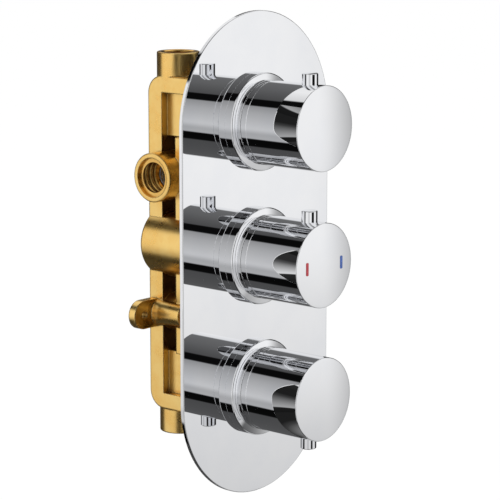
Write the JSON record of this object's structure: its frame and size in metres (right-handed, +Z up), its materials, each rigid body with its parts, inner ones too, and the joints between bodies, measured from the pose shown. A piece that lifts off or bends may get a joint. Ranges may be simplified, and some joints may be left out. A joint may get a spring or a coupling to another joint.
{
  "type": "thermostatic shower valve",
  "caption": "Concealed brass shower valve behind a stadium-shaped chrome wall plate, with round flow knobs above and below a round temperature knob.",
  "frame": {"origin": "centre of the wall plate's back face, which is the finished wall plane, on the temperature knob's axis", "axes": "+X to the user's right, +Y into the wall, +Z up"},
  "size_m": [0.13, 0.1302, 0.29],
  "materials": {
    "polished_brass": "polished cast brass with softly rounded edges",
    "machined_brass": "fine turned brass",
    "mirror_chrome": "mirror-polished chrome plate",
    "spring_steel": "drawn stainless wire",
    "stainless_steel": "machined stainless steel",
    "black_rubber": "smooth black sealing rubber",
    "white_foam_seal": "soft pale foam seal",
    "alumina_ceramic": "lapped ceramic",
    "white_acetal": "moulded acetal",
    "grey_acetal": "moulded acetal",
    "red_enamel": "flush red enamel",
    "blue_enamel": "flush blue enamel"
  },
  "bodies": {
    "valve": {"body_casting": "polished_brass", "cartridge_end_plug": "machined_brass", "check_body_cold": "grey_acetal", "check_body_hot": "grey_acetal", "check_spring_cold": "spring_steel", "check_spring_hot": "spring_steel", "cold_seat_ring": "stainless_steel", "filter_screens": "stainless_steel", "fixed_disc_lower": "alumina_ceramic", "fixed_disc_top": "alumina_ceramic", "flange_orings": "black_rubber", "flow_gland_lower": "machined_brass", "flow_gland_top": "machined_brass", "gland_orings": "black_rubber", "plate_seal": "white_foam_seal", "return_spring": "spring_steel", "seat_seal_lower": "black_rubber", "seat_seal_top": "black_rubber", "shroud_lower": "mirror_chrome", "shroud_middle": "mirror_chrome", "shroud_orings": "black_rubber", "shroud_top": "mirror_chrome", "temperature_stop_ring": "white_acetal", "thermostat_body": "machined_brass", "thermostat_nut": "machined_brass", "thermostat_orings": "black_rubber", "wall_plate": "mirror_chrome"},
    "top_knob": {"knob_shell_top": "mirror_chrome", "knob_ring_top": "mirror_chrome", "knob_pin_top": "mirror_chrome", "knob_insert_top": "white_acetal", "insert_screw_top": "stainless_steel", "grub_screw_top": "stainless_steel", "flow_spindle_top": "machined_brass", "moving_disc_top": "alumina_ceramic"},
    "lower_knob": {"knob_shell_lower": "mirror_chrome", "knob_ring_lower": "mirror_chrome", "knob_pin_lower": "mirror_chrome", "knob_insert_lower": "white_acetal", "insert_screw_lower": "stainless_steel", "grub_screw_lower": "stainless_steel", "flow_spindle_lower": "machined_brass", "moving_disc_lower": "alumina_ceramic"},
    "temperature_knob": {"knob_shell_middle": "mirror_chrome", "knob_ring_middle": "mirror_chrome", "knob_pin_middle": "mirror_chrome", "knob_insert_middle": "white_acetal", "insert_screw_middle": "stainless_steel", "grub_screw_middle": "stainless_steel", "temperature_spindle": "machined_brass", "hot_mark": "red_enamel", "cold_mark": "blue_enamel"},
    "thermostat_slider": {"adjusting_slider": "grey_acetal", "overload_spring": "spring_steel", "wax_piston": "stainless_steel", "wax_element": "machined_brass", "regulating_sleeve": "stainless_steel"},
    "hot_check": {"check_poppet_hot": "white_acetal"},
    "cold_check": {"check_poppet_cold": "white_acetal"}
  },
  "joints": [
    {"name": "top_flow_turn", "type": "hinge", "parent": "valve", "child": "top_knob", "pos_m": [0, 0, 0.08], "axis": [0, -1, 0], "range_deg": [0, 90]},
    {"name": "lower_flow_turn", "type": "hinge", "parent": "valve", "child": "lower_knob", "pos_m": [0, 0, -0.08], "axis": [0, -1, 0], "range_deg": [0, 90]},
    {"name": "temperature_turn", "type": "hinge", "parent": "valve", "child": "temperature_knob", "pos_m": [0, 0, 0], "axis": [0, -1, 0], "range_deg": [-90, 90]},
    {"name": "thermostat_slide", "type": "slide", "parent": "valve", "child": "thermostat_slider", "axis": [0, 1, 0], "range_m": [-0.001, 0.001], "deforming": ["return_spring"]},
    {"name": "hot_check_slide", "type": "slide", "parent": "valve", "child": "hot_check", "axis": [1, 0, 0], "range_m": [0, 0.0012], "stiffness_N_per_m": 80, "springref_m": -0.002, "deforming": ["check_spring_hot"]},
    {"name": "cold_check_slide", "type": "slide", "parent": "valve", "child": "cold_check", "axis": [-1, 0, 0], "range_m": [0, 0.0012], "stiffness_N_per_m": 80, "springref_m": -0.002, "deforming": ["check_spring_cold"]}
  ],
  "couplings": [
    {"joint": "thermostat_slide", "follows": "temperature_turn", "m_per_rad": -0.0006366}
  ]
}
